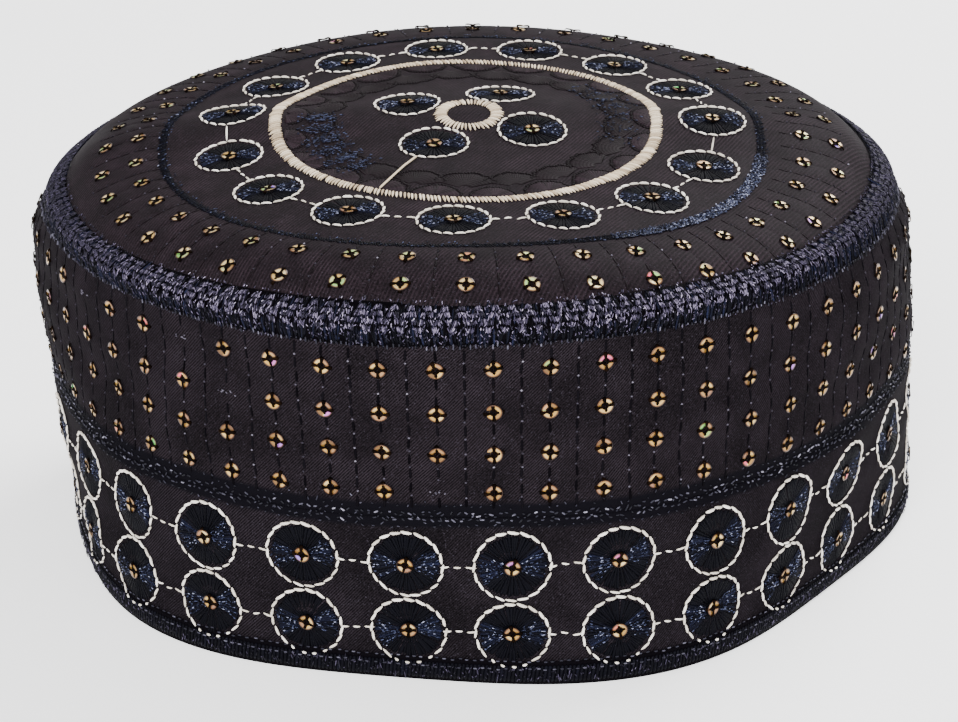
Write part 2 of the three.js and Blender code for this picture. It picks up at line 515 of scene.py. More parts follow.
def satinLook(name, dark, light, twill, strip=None):
    # black satin: paler floats on thin diagonal ribs, partly the weave and partly painted sheen, patchy with
    # soft clouds of painted sheen, with sparse lint and a darker strip along v
    web = Web(name)
    u, v = web.lay()
    place = web.place()
    rib = ((u - v * twill["slope"]) * (turn / twill["pitch"])).sine() * 0.5 + 0.5
    mottle = web.noise(place, 70.0, 4.0)
    grain = web.noise(place, 2400.0, 1.0)
    fluff = web.noise(place, 3200.0, 0.0).within(0.68, 0.82)
    # painted sheen: the ribs' floats and the clouds over them lighten the base colour where the satin would
    # shine
    floatsAndSheen = rib * rib * (mottle.within(0.38, 0.66) * 0.75 + 0.25) * twill["ribs"]
    sheenCloud = web.noise(place, 190.0, 3.0).within(0.36, 0.64) * twill["clouds"] + (1 - twill["clouds"] / 2)
    share = (floatsAndSheen + grain.within(0.35, 0.8) * 0.17) * sheenCloud
    base = web.mix(fluff * 0.3, web.mix(share, dark, light), lint)
    if strip:
        base = web.mix(v.within(strip["from"], strip["to"]), base, strip["shade"])
    return web.finish(
        Base_Color=base, Roughness=mottle * 0.2 + 0.55,
        Normal=web.bump(rib + grain, 0.00006, 0.6), Specular_IOR_Level=twill["specular"])


def threadLook(name, stops, roughness, specular):
    # spun thread: colour by each stitch's tone, a fine twist of plies along it
    web = Web(name)
    u, v = web.lay()
    twist = ((u * (1 / 0.0008) + v) * turn).sine()
    fuzz = web.noise(web.place(), 3000.0, 1.0)
    return web.finish(
        Base_Color=web.ramp(web.tone() * 0.85 + fuzz * 0.3 - 0.075, stops),
        Roughness=fuzz * 0.2 + (roughness - 0.1),
        Normal=web.bump(twist * 0.5 + fuzz, 0.00005, 0.7), Specular_IOR_Level=specular)


def sequinLook():
    # a thin metal disc: dark hole, gold petals by tone, a brown rim that darkens to painted shade at its very
    # edge; a few petals shine in other colours
    web = Web("gold sequin")
    reach = web.lay()[0]
    face = web.ramp(web.tone(), [
        (0.0, (92, 64, 32)), (0.15, (134, 98, 46)), (0.30, (176, 138, 66)),
        (0.42, (132, 94, 70)), (0.55, (192, 158, 92)), (0.76, (228, 204, 154)),
        (0.91, (64, 186, 88)), (0.95, (214, 84, 88)), (1.0, (138, 116, 214))])
    # painted shade: the rim goes from brown to near black at the very edge
    edge = web.mix(reach.within(0.86, 0.97), (84, 48, 22), (24, 11, 5))
    base = web.mix(reach.within(0.74, 0.88), face, edge)
    base = web.mix(1 - reach.within(0.42, 0.52), base, (18, 9, 6))
    return web.finish(Base_Color=base, Metallic=0.35, Roughness=0.34, Specular_IOR_Level=0.4)


crownCloth = satinLook("black satin of the crown", (12, 9, 11), (68, 54, 63), crownTwill)
wallCloth = satinLook(
    "black satin of the wall", (7, 6, 7), (58, 50, 57), wallTwill,
    {"from": -0.0390, "to": -0.0400, "shade": (11, 10, 14)})
bandCloth = satinLook(
    "black satin of the band", (7, 6, 7), (55, 48, 55), wallTwill,
    {"from": -0.0458, "to": -0.0448, "shade": (11, 10, 14)})
whiteThread = threadLook(
    "off-white thread", [(0, (186, 178, 166)), (0.5, (222, 214, 202)), (1, (246, 240, 232))], 0.6, 0.2)
creamThread = threadLook(
    "cream satin thread", [(0, (150, 130, 106)), (0.5, (199, 181, 155)), (1, (229, 213, 191))], 0.55, 0.2)
blackThread = threadLook("black thread", [(0, (4, 3, 5)), (1, (13, 11, 15))], 0.6, 0.01)
speckThread = threadLook("pale flecks of the running stitches", [
    (0, (16, 14, 20)), (0.5, (58, 54, 64)), (0.8, (98, 94, 106)), (1, (150, 146, 160))], 0.6, 0.08)
borderThread = threadLook("pale flecks of the border", [
    (0, (10, 10, 16)), (0.5, (40, 39, 50)), (0.8, (96, 94, 108)), (1, (160, 157, 172))], 0.55, 0.15)
lilacThread = threadLook("lilac thread of the rim", [
    (0, (7, 6, 11)), (0.4, (27, 24, 37)), (0.62, (61, 55, 75)), (0.85, (126, 117, 140)),
    (1, (190, 181, 198))], 0.5, 0.15)
navyThread = threadLook("navy thread", [
    (0, (3, 3, 6)), (0.5, (8, 8, 15)), (0.8, (18, 20, 36)), (1, (37, 43, 72))], 0.6, 0.04)
leafThread = threadLook("black thread of the leaves", [
    (0, (10, 6, 8)), (0.5, (20, 13, 17)), (0.8, (33, 23, 29)), (1, (46, 35, 44))], 0.6, 0.05)
blueThread = threadLook("blue glints of the navy thread", [
    (0, (12, 13, 22)), (0.4, (28, 31, 50)), (0.75, (68, 74, 102)), (1, (166, 170, 194))], 0.5, 0.1)
petalCross = threadLook("brown black thread over the sequins", [(0, (5, 3, 2)), (1, (20, 11, 6))], 0.6, 0.01)
gold = sequinLook()
print("materials made")

# The cloth shells. The tops of the wall and band and the wall's end are shares of the height.
wallShell = {"top": 0.036, "end": 0.5225, "rows": 58, "thickness": 0.0019}
bandShell = {"top": 0.5235, "overHem": 0.0003, "rows": 26, "columns": 480, "thickness": 0.0023}
topShell = {
    "split": 0.0695, "innerRows": 38,  # rows crowd outside this radius, where the stitch lines are
    "edge": 0.0026, "outerRows": 26, "underRows": 8, "thickness": 0.002,
}

wallRows = -np.linspace(wallShell["top"], wallShell["end"], wallShell["rows"])[:, None] * tall
wallPiece = clothRing(
    "wall_cloth", wallFace, columnsOver(quilting), wallRows, wallShell["thickness"], wallCloth)
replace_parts(wallPiece, "side_wall")
ringDirections = evenly(bandShell["columns"])
bandEnd = downAt(ringDirections, hem["height"] - bandShell["overHem"])
bandRows = np.linspace(-bandShell["top"] * tall + 0 * bandEnd, bandEnd, bandShell["rows"])
bandPiece = clothRing("band_cloth", bandFace, ringDirections, bandRows, bandShell["thickness"], bandCloth)
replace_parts(bandPiece, "lower_band")


def crownShell():
    # closed shell: rows of rising radius over the top from the pole, then back underneath to the lower pole
    direction = columnsOver(crownQuilting)
    split = topShell["split"]
    inner = np.linspace(0.0, split, topShell["innerRows"])[1:, None] + 0 * direction
    rest = around("seamRadius", direction) - topShell["edge"] - split
    radius = np.concatenate([inner, split + rest * np.linspace(0, 1, topShell["outerRows"])[1:, None]])
    x, y = onCircle(radius, direction)
    pick = np.linspace(len(radius) - 1, 0, topShell["underRows"]).astype(int)
    below = np.array([0, 0, -topShell["thickness"]])
    centre = np.zeros(1)
    rows = np.concatenate([lifted(crownFace, x, y), crownSheet(x[pick], y[pick]) + below])
    poles = np.concatenate([lifted(crownFace, centre, centre), crownSheet(centre, centre) + below])
    faces = [gridFaces(len(rows), len(direction), False), endFans(len(rows), len(direction))]
    flat = np.stack([np.concatenate([x, x[pick]]).ravel(), np.concatenate([y, y[pick]]).ravel()], -1)
    flat = np.concatenate([flat, np.zeros((2, 2))])
    uv = np.concatenate([flat[block.ravel()] for block in faces])
    points = np.concatenate([rows.reshape(-1, 3), poles])
    return makePiece("crown_cloth", points, faces, crownCloth, uv)


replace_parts(crownShell(), "crown")
print("cloth shells made")

rimRows = np.linspace(rim["over"], -rim["down"], rim["rows"])[:, None]
rimPiece = clothRing("rim_roll", rimFace, ringDirections, rimRows, rim["thickness"], blackThread)
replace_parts(rimPiece, "rim_seam")


def hemRoll():
    # closed ring: a padded strip, its outer face proud of the wall, flat underneath
    direction, rows = ringDirections, hem["rows"]
    inside = [rows - 1, rows // 2, 0]
    height = np.linspace(hem["height"], 0.0, rows)[:, None] + 0 * direction
    bulge = hem["proud"] * np.sin(np.linspace(0.35, math.pi - 0.4, rows))[:, None, None] ** 0.5
    outward = np.stack([np.sin(direction), -np.cos(direction), 0 * direction], -1)
    outer = wallSheet(direction * unit + 0 * height, downAt(direction, height)) + bulge * outward
    inner = outer[inside] - (hem["thickness"] - hem["round"]) * outward
    points = np.concatenate([outer, inner]).reshape(-1, 3)
    v = np.concatenate([height, height[inside]])
    corners = gridCorners(direction * unit + 0 * v, v, True, turn * unit)
    faces = gridFaces(len(v), len(direction), True)
    return makePiece("hem_roll", points, [faces], blackThread, corners, 0 * v + hem["tone"])


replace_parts(hemRoll(), "hem_binding")
print("rim and hem made")

# Sequins: on every second wall line, on the crown's edge and in the middle of each medallion.
# shade is each set's range of petal tones: the crown's discs are paler and the wall's darker, painted
# highlight and painted shade by how the discs face the light
wallSequins = {
    "columns": 48, "first": quilting["first"], "rows": (0.116, 0.232, 0.341, 0.452),
    "missing": ((-6, 0), (-3, 0), (-2, 1), (2, 3)),  # column counted from the first line, then row
    "sway": 0.12, "size": 0.00182, "over": 0.00026, "shade": (0.0, 0.62),
}
crownSequins = {
    "columns": 40, "first": crownQuilting["first"], "rows": (0.0820, 0.0745),
    "sway": 0.45, "size": 0.00182, "over": 0.00026, "shade": (0.42, 0.86),
}
middleSequins = {"sway": 0.25, "size": 0.00178, "over": 0.00050}
# shade is the range of the middle sequins' petal tones, paler on the crown: painted light and shade as for
# the sequin sets
bandMedallions = {
    "columns": 24, "first": math.radians(-9.56), "rows": (0.658, 0.854),
    "half": 0.00775, "tall": 0.0076, "fill": 1.03, "shade": (0.1, 0.7),
    "lowest": 0.929,  # stitches below this share of the height are cut short by the hem
}
crownMedallions = {
    "columns": 15, "first": math.radians(-3.45), "rows": (0.0546,),
    "half": 0.00755, "tall": 0.0075, "fill": 0.95, "shade": (0.3, 0.86), "lowest": None,
}
innerMedallions = np.array([(-0.0142, 0.0072), (0.0070, 0.0142), (0.0138, -0.0073), (-0.0078, -0.0140)])


def wallGrid(table):
    # the x, y of each place on rows round the wall, and its column and row
    columns, rows = table["columns"], table["rows"]
    column, row = np.meshgrid(np.arange(columns) - columns // 2, np.arange(len(rows)), indexing="ij")
    direction = (table["first"] + column * turn / columns + math.pi) % turn - math.pi
    places = np.stack([direction * unit, -np.array(rows)[row] * tall], -1)
    return places.reshape(-1, 2), column.ravel(), row.ravel()


def crownGrid(table):
    # the flat x, y of each place on rings of the crown
    directions = table["first"] + np.arange(table["columns"]) * turn / table["columns"]
    direction, radius = np.meshgrid(directions, table["rows"], indexing="ij")
    return np.stack(onCircle(radius, direction), -1).reshape(-1, 2)


wallPlaces, placeColumn, placeRow = wallGrid(wallSequins)
gone = np.zeros(len(wallPlaces), bool)
for column, row in wallSequins["missing"]:
    gone |= (placeColumn == column) & (placeRow == row)
bandPlaces = wallGrid(bandMedallions)[0]
topPlaces = np.concatenate([crownGrid(crownMedallions), innerMedallions])

sequin = {
    "sides": 20, "tilt": 0.045, "odd": 0.05,  # odd is the share of petals in other colours
    "radii": np.array((0.40, 0.52, 0.8, 1.0, 0.97, 0.42)),  # one section, as shares of the disc's radius
    "heights": np.array((0.00004, 0.00000, 0.00013, 0.00010, 0.00004, -0.00006)),
}
cross = {"turn": 0.05, "start": 0.06, "reach": 1.14, "wander": 0.06, "over": 0.00018}
crossLook = thread(
    petalCross, width=0.00078, height=0.00022, arch=0.00002, dive=0.0006, sides=5,
    stops=(0.1, 0.45, 0.78, 0.93), girth=(0.7, 0.8, 1.15, 1.1))


def unitLength(rows):
    # each row over its own length
    return rows / np.linalg.norm(rows, axis=1, keepdims=True)


def sequinSet(name, face, places, spin, kind):
    # cupped discs with a hole: the section turned round each tilted normal, its petals turned by spin
    count, sides, radii = len(places), sequin["sides"], sequin["radii"]
    rows, shade = len(radii), kind["shade"]
    x, y = places[:, 0], places[:, 1]
    normal = unitLength(normalsOf(face, x, y) + sequin["tilt"] * dice.normal(size=(count, 3)))
    along = face[0](x + 1e-4, y) - face[0](x - 1e-4, y)
    along = unitLength(along - normal * (along * normal).sum(1, keepdims=True))
    up = np.cross(normal, along)
    angle = np.arange(sides) / sides * turn
    turned = (angle + spin[:, None])[..., None]
    circle = along[:, None] * np.cos(turned) + up[:, None] * np.sin(turned)
    points = circle[:, None] * (radii * kind["size"])[:, None, None]
    points = points + normal[:, None, None] * sequin["heights"][:, None, None]
    points = points + lifted(face, x, y, kind["over"])[:, None, None]
    offset = (np.arange(count) * rows * sides)[:, None, None]
    faces = (gridFaces(rows, sides, True) + offset).reshape(-1, 4)
    u = radii[:, None] + 0 * angle
    v = angle / turn + 0 * u
    corners = np.tile(gridCorners(u, v, True, 0.0), (count, 1))
    corners[:, 1] = np.tile(gridCorners(v, u, True, 1.0)[:, 0], count)
    # petal tones at random within the set's range; the range itself is painted light and shade
    petals = shade[0] + (shade[1] - shade[0]) * dice.random((count, 4))
    petals = np.where(dice.random((count, 4)) < sequin["odd"], dice.uniform(0.9, 1.0, (count, 4)), petals)
    tone = np.broadcast_to(petals[:, None, np.arange(sides) * 4 // sides], (count, rows, sides))
    return makePiece(name, points.reshape(-1, 3), [faces], gold, corners, tone)


def crossThreads(name, face, places, spin, kind):
    # four stitches from each sequin's hole to just past its rim, turned by spin
    shape = (len(places), 4)
    spin = spin[:, None] + np.arange(4) * math.pi / 2 + dice.normal(0, cross["turn"], shape)
    reach = kind["size"] * cross["reach"] * (1 + dice.normal(0, cross["wander"], shape))
    far = np.stack([np.cos(spin), np.sin(spin)], -1) * reach[..., None]
    near = far * cross["start"]
    look = {**crossLook, "over": kind["over"] + cross["over"]}
    stitches(name, face, spotsRound(face, places, near), spotsRound(face, places, far), look)


def sequinsOn(label, face, places, kind):
    # a set of discs and the stitches that hold them, each turned by a chance angle
    spin = dice.normal(0, kind["sway"], len(places))
    sequinSet(f"{label}_sequins", face, places, spin, kind)
    crossThreads(f"{label}_sequin_threads", face, places, spin, kind)


bare = {"count": 7, "wide": 0.0022, "wander": 0.0003, "length": 0.0005, "lean": 0.0002}


def bareSpots(places):
    # where a sequin is missing, a few short pale strands of its stitches are left
    count = len(places) * bare["count"]
    x = np.repeat(places[:, 0], bare["count"]) + dice.uniform(-bare["wide"], bare["wide"], count)
    y = np.repeat(places[:, 1], bare["count"]) + dice.normal(0, bare["wander"], count)
    look = thread(speckThread, width=0.0003, height=0.0003, arch=0.0001, over=0.0002)
    end = x + bare["length"], y + dice.normal(0, bare["lean"], count)
    stitches("wall_bare_threads", wallFace, (x, y), end, look, 0.4 + 0.5 * dice.random(count))


sequinsOn("wall", wallFace, wallPlaces[~gone], wallSequins)
bareSpots(wallPlaces[gone])
sequinsOn("crown", crownFace, crownGrid(crownSequins), crownSequins)
print("sequins made")

lineLook = thread(
    blackThread, width=0.00062, height=0.00022, arch=0.00006, sides=5,
    stops=(0.12, 0.5, 0.88), girth=(0.8, 1.0, 0.8))
crownLineLook = {**lineLook, "yarn": leafThread, "width": 0.00048}
speckLook = thread(speckThread, width=0.00048, height=0.00034, arch=0.00010, over=0.00014)
wallRun = {"half": 0.00125, "fleck": 0.00022, "clear": 0.0019, "fleckClear": 0.0026, "kept": 0.9}
crownRun = {"half": 0.00115, "fleck": 0.0002, "clear": 0.0024}


def offSequins(length, even, rows, clear):
    # true where a length along its line is away from each sequin row, or the line has no sequins
    near = sum(np.abs(length - row) < clear for row in rows) > 0
    return ~(near & even)


def runningStitches():
    # black dashes along each wall line with a pale fleck in each gap, except where a sequin lies
    pitch, end = quilting["pitch"], quilting["end"] * tall
    line = np.arange(quilting["lines"])[:, None]
    direction = (quilting["first"] + line * turn / quilting["lines"] + math.pi) % turn - math.pi
    steps = np.arange(int((end - quilting["top"]) / pitch) + 1)
    down = quilting["top"] + pitch * (steps + 0.5) + dice.normal(0, 0.0002, (len(line), len(steps)))
    rows = np.array(wallSequins["rows"]) * tall
    clear = offSequins(down, line % 2 == 0, rows, wallRun["clear"])
    x, y = (direction * unit + 0 * down)[clear], -down[clear]
    foot = x + dice.normal(0, 0.0001, len(x)), y - wallRun["half"]
    stitches("wall_line_stitches", wallFace, (x, y + wallRun["half"]), foot, lineLook)
    down = down + pitch / 2
    clear = (down < end) & (dice.random(down.shape) < wallRun["kept"])
    clear &= offSequins(down, line % 2 == 0, rows, wallRun["fleckClear"])
    x, y = (direction * unit + 0 * down)[clear], -down[clear]
    x = x + dice.normal(0, 0.00012, len(x))
    lit = 0.45 + 0.55 * ease(np.cos(x / unit), 0.55, 0.9)
    tone = (0.2 + 0.8 * dice.random(len(x))) * lit
    fleck = wallRun["fleck"]
    stitches("wall_line_flecks", wallFace, (x, y + fleck), (x, y - fleck), speckLook, tone)


def crownRunningStitches():
    # the same on the crown's radial lines
    pitch, first = crownQuilting["pitch"], crownQuilting["from"]
    line = np.arange(crownQuilting["lines"])[:, None]
    steps = np.arange(int((crownQuilting["to"] - first) / pitch) + 1)
    radius = first + pitch * steps + dice.normal(0, 0.0002, (len(line), len(steps)))
    direction = crownQuilting["first"] + line * turn / crownQuilting["lines"] + 0 * radius
    clear = offSequins(radius, line % 2 == 0, crownSequins["rows"], crownRun["clear"])
    radius, direction = radius[clear], direction[clear]
    tone = 0.35 * dice.random(len(radius))
    half, fleck = crownRun["half"], crownRun["fleck"]
    spots = [onCircle(radius + reach, direction) for reach in (-half, half)]
    stitches("crown_line_stitches", crownFace, *spots, crownLineLook, tone)
    # painted highlight: more flecks are pale at the right front, where the light catches the crown
    near = bell(direction, 0.95, 0.3)  # more of them are pale at the right front
    tone = dice.random(len(radius)) ** (2.6 - 1.5 * near)
    spots = [onCircle(radius + pitch / 2 + reach, direction) for reach in (-fleck, fleck)]
    stitches("crown_line_flecks", crownFace, *spots, speckLook, tone)


runningStitches()
crownRunningStitches()

borderJoin = 0.520  # the share of the height where the wall meets the band

# The border's rows: share of the height, pitch, dash, width, wander and the palest tone.
border = (
    (0.487, 0.00200, 0.00040, 0.00026, 0.00050, 0.75),
    (borderRows[0], 0.00150, 0.00085, 0.00038, 0.00026, 1.0),
    (borderJoin, 0.00170, 0.00060, 0.00032, 0.00040, 0.7),
    (borderRows[1], 0.00160, 0.00085, 0.00038, 0.00024, 0.95),
    (0.546, 0.00190, 0.00060, 0.00028, 0.00030, 0.6),
)
dash = (0.2, 0.8)


def borderStitches():
    # rows of short dashes round the cap above and below the join, most of them dark and a few pale
    for number, (share, pitch, length, width, wander, shade) in enumerate(border):
        count = int(turn * unit / pitch)
        x = evenly(count) * unit + dice.normal(0, 0.00025, count)
        y = -share * tall + dice.normal(0, wander, count)
        look = thread(borderThread, width=width, height=0.00034, arch=0.00016, over=0.0001, stops=dash)
        half = length / 2 * dice.uniform(0.6, 1.5, count)
        tilt = dice.normal(0, 0.00022, count)
        face = wallFace if share < borderJoin else bandFace
        tone = shade * dice.random(count) ** 1.5
        stitches(f"border_row_{number + 1}", face, (x - half, y - tilt), (x + half, y + tilt), look, tone)


borderStitches()
print("running stitches made")

medallion = {
    "ground": (0.90, 0.16, 0.28),  # where radial threads end and start, and how much later every other one
    "spokes": 64, "stitches": 20, "slant": 0.00017,
    # the bow tie of painted sheen and glints: its tilt, and the glints' sheen wing each side of the
    # horizontal
    "glints": 150, "tilt": 0.14, "sheenWing": 0.56,
    "cut": 0.4,  # how much of a stitch at the hem is left
}
outlineLook = thread(
    whiteThread, width=0.00062, height=0.0005, arch=0.00016, over=0.0002, sides=6,
    stops=(0.08, 0.3, 0.7, 0.92), girth=(0.6, 1.0, 0.95, 0.5))
spokeLook = thread(
    navyThread, width=0.0008, height=0.00024, arch=0.00006, over=0.00004,
    stops=(0.06, 0.9), girth=(0.55, 1.0))
glintLook = thread(blueThread, width=0.00021, height=0.00021, arch=0.0001, over=0.00030)


def medallionSet(label, face, places, kind):
    # a dark ground of radial threads, paler in a bow tie of painted sheen, blue painted glints in that bow
    # tie and a ring of slanted white stitches
    count = len(places)

    def spots(angle, reach, twist=0.0):
        # an oval's sine and cosine times the reach, round each place
        ray = np.stack([np.sin(angle) * kind["half"], np.cos(angle) * kind["tall"]], -1)
        return spotsRound(face, places, ray * reach[..., None] + twist)

    size = 1 + dice.normal(0, 0.012, (count, 1))
    spokes = medallion["spokes"]
    outerEnd, innerEnd, more = medallion["ground"]
    angle = np.arange(spokes) / spokes * turn + dice.normal(0, 0.02, (count, spokes))
    outer = (outerEnd + dice.normal(0, 0.02, (count, spokes))) * size
    inner = innerEnd + more * (np.arange(spokes) % 2) + dice.normal(0, 0.03, (count, spokes))
    # painted sheen: the spokes near the horizontal are paler, where radial satin catches the light
    sheenWing = ease(np.abs(np.sin(angle + medallion["tilt"])), 0.74, 0.93).ravel()
    tone = 0.06 + 0.2 * dice.random(count * spokes) + 0.68 * sheenWing * dice.random(count * spokes) ** 0.7
    stitches(f"{label}_medallion_grounds", face, spots(angle, inner), spots(angle, outer), spokeLook, tone)

    shape = (count, medallion["glints"])
    swing = dice.uniform(-medallion["sheenWing"], medallion["sheenWing"], shape) + medallion["tilt"]
    swing = swing + dice.normal(0, 0.07, (count, 1))
    angle = np.where(dice.random(shape) < 0.5, 0.0, math.pi) + math.pi / 2 - swing
    start = dice.uniform(0.24, 0.86, shape)
    end = start + dice.uniform(0.03, 0.10, shape)
    twist = dice.normal(0, 0.0001, (*shape, 2))
    tone = dice.random(start.size) ** 1.7
    a, b = spots(angle, start), spots(angle, end, twist)
    stitches(f"{label}_medallion_glints", face, a, b, glintLook, tone)

    shape = (count, medallion["stitches"])
    phase = dice.random((count, 1)) * turn
    angle = np.arange(shape[1]) / shape[1] * turn + phase + dice.normal(0, 0.012, shape)
    half = math.pi / shape[1] * (kind["fill"] + dice.normal(0, 0.05, shape))
    slant = medallion["slant"] / kind["half"]
    a, b = spots(angle - half, size * (1 + slant)), spots(angle + half, size * (1 - slant))
    if kind["lowest"]:
        low = (a[1] + b[1]) / 2 < -kind["lowest"] * tall
        middle = [(one + other) / 2 for one, other in zip(a, b)]
        a, b = [[np.where(low, mid + (one - mid) * medallion["cut"], one) for one, mid in zip(end, middle)]
                for end in (a, b)]
    look = {**outlineLook, "scale": (1 + 0.14 * np.cos(angle)).ravel()}
    stitches(f"{label}_medallion_rings", face, a, b, look)
    sequinsOn(f"{label}_medallion", face, places, {**middleSequins, "shade": kind["shade"]})


medallionSet("band", bandFace, bandPlaces, bandMedallions)
medallionSet("crown", crownFace, topPlaces, crownMedallions)

link = {
    "starts": np.array((0.0, 0.36, 0.68)), "ends": np.array((0.26, 0.58, 1.0)),  # shares of the free gap
    "wander": 0.0002,
    "single": (3, 11),  # after these medallions of the crown one long stitch is the whole link
}
linkLook = thread(
    whiteThread, width=0.00048, height=0.0004, arch=0.00014, over=0.00014, sides=5,
    stops=(0.15, 0.5, 0.85), girth=(0.8, 1.0, 0.7))


def links():
    # a few dashes from one medallion to the next, along the row
    reach = 2 * bandMedallions["half"] / unit
    free = turn / bandMedallions["columns"] - reach
    start = bandPlaces[:, 0] / unit + reach / 2
    a, b = [((start[:, None] + free * part) * unit).ravel() for part in (link["starts"], link["ends"])]
    y = np.repeat(bandPlaces[:, 1], len(link["starts"]))
    wander = dice.normal(0, link["wander"], (2, len(y)))
    stitches("band_links", bandFace, (a, y + wander[0]), (b, y + wander[1]), linkLook)
    radius, columns = crownMedallions["rows"][0], crownMedallions["columns"]
    reach = 2 * crownMedallions["half"] / radius
    free = turn / columns - reach
    number = np.arange(columns)
    start = (crownMedallions["first"] + number * turn / columns + reach / 2)[:, None]
    single = np.isin(number, link["single"])[:, None]
    a = (start + free * np.where(single, 0.0, link["starts"])).ravel()
    b = (start + free * np.where(single, 0.98, link["ends"])).ravel()
    kept = np.broadcast_to(~single | (link["starts"] == 0), (columns, 3)).ravel()
    near = radius + dice.normal(0, link["wander"], (2, len(a)))
    a, b = onCircle(near[0, kept], a[kept]), onCircle(near[1, kept], b[kept])
    stitches("crown_links", crownFace, a, b, linkLook)


links()
print("medallions made")


def satinRing(name, kind, inner, outer, look, tone=None):
    # slanted stitches laid side by side between two radii; inner and outer take a direction
    count = kind["stitches"]
    direction = np.arange(count) / count * turn + dice.normal(0, 0.1, count) * turn / count
    lower = inner(direction) + dice.normal(0, 0.00008, count)
    upper = outer(direction) + dice.normal(0, 0.00016, count)
    a, b = onCircle(lower, direction), onCircle(upper, direction + kind["lean"] / ((lower + upper) / 2))
    stitches(name, crownFace, (kind["centre"] + a[0], a[1]), (kind["centre"] + b[0], b[1]), look, tone)


def creamRing(direction):
    # the cream ring's middle radius, a little uneven
    sway = 0.0002 * np.sin(2 * direction) + 0.00047 * np.cos(3 * direction)
    return 0.0429 - 0.00085 * np.sin(direction) + sway


ringLook = thread(
    creamThread, width=0.00058, height=0.00060, arch=0.0003, over=0.00012, sides=6,
    stops=(0.08, 0.3, 0.7, 0.92), girth=(0.7, 1.0, 0.95, 0.5))
bigRing = {"stitches": 320, "centre": 0.0, "lean": 0.0010, "inside": 0.0016, "outside": 0.0013}
hubRing = {"stitches": 48, "centre": -0.0002, "lean": 0.0004, "inner": 0.0048, "outer": 0.0079}
satinRing("big_ring", bigRing, lambda t: creamRing(t) - bigRing["inside"],
          lambda t: creamRing(t) + bigRing["outside"], ringLook)
satinRing("hub_ring", hubRing, lambda t: hubRing["inner"], lambda t: hubRing["outer"], ringLook)
navyLook = thread(
    navyThread, width=0.00050, height=0.00024, arch=0.00006, over=0.00006,
    stops=(0.15, 0.5, 0.85), girth=(0.8, 1.0, 0.8))


def navyHalf(direction):
    # half the dark ring's width: widest at the right front
    return 0.0010 + 0.0004 * bell(direction, 0.6, 0.8)


# painted sheen: the dark ring's stitches are paler at the left and right, where its satin catches the light,
# over a random tone
navyTurn = np.arange(navy["stitches"]) / navy["stitches"] * turn
navyToneAndSheen = 0.1 + 0.35 * dice.random(navy["stitches"]) + 0.2 * ease(np.abs(np.sin(navyTurn)), 0.3, 0.9)
satinRing("navy_ring", navy, lambda t: navyRing(t) - navyHalf(t), lambda t: navyRing(t) + navyHalf(t),
          navyLook, navyToneAndSheen)


def navyGlints():
    # short blue strands along the dark ring, painted glints: dense from the right front to the right and
    # brighter at the left, where the ring catches the light, dull elsewhere
    count = navy["glints"]
    direction = np.concatenate([
        dice.uniform(0.45, 1.40, count * 6 // 10), dice.uniform(-math.pi, math.pi, count * 4 // 10)])
    highlightPatch = ease(direction, 0.35, 0.85) * (1 - ease(direction, 1.25, 1.42))
    left = bell(direction, -1.55, 0.3)
    x, y = onCircle(navyRing(direction) + dice.uniform(-0.0014, 0.0014, count), direction)
    length = dice.uniform(0.00025, 0.0008, count)
    tilt = dice.normal(0.6, 0.6, count)
    tone = dice.random(count) ** (1.5 + 2 * (1 - highlightPatch)) * (0.8 + 0.25 * highlightPatch + 0.2 * left)
    look = {**glintLook, "width": 0.00028, "over": 0.00022}
    end = x + length * np.cos(tilt), y + length * np.sin(tilt)
    stitches("navy_ring_glints", crownFace, (x, y), end, look, np.minimum(tone, 1.0))


navyGlints()

wreath = {
    "scallops": 21, "first": 0.12,
    "mound": {"root": 0.0417, "reach": 0.0052, "half": 1.35, "rays": 22, "tone": (0.5, 0.4), "over": 0.00006},
    "leaf": {"root": 0.0368, "reach": 0.0068, "half": 1.05, "rays": 24, "tone": (0.1, 0.5), "over": -0.00002},
}


def fan(name, part, shift):
    # scallops of close stitches fanned inwards from roots on a circle; returns the spots along their edge
    count, rays = wreath["scallops"], part["rays"]
    middle = (wreath["first"] + (np.arange(count) + shift) / count * turn)[:, None]
    x, y = onCircle(part["root"] * (1 + dice.normal(0, 0.004, (count, 1))), middle)
    reach = part["reach"] * (1 + dice.normal(0, 0.06, (count, 1)) + dice.normal(0, 0.02, (count, rays)))
    dx, dy = onCircle(1.0, middle + math.pi - np.linspace(-part["half"], part["half"], rays))
    a, b = [((x + dx * reach * share).ravel(), (y + dy * reach * share).ravel()) for share in (0.12, 1.0)]
    look = thread(
        leafThread, width=0.0013, height=0.0002, arch=0.00005, over=part["over"],
        stops=(0.12, 0.9), girth=(0.6, 1.0))
    stitches(name, crownFace, a, b, look, part["tone"][0] + part["tone"][1] * dice.random(reach.size))
    reach = reach * (1.04 + dice.normal(0, 0.03, reach.shape))
    return x + dx * reach, y + dy * reach


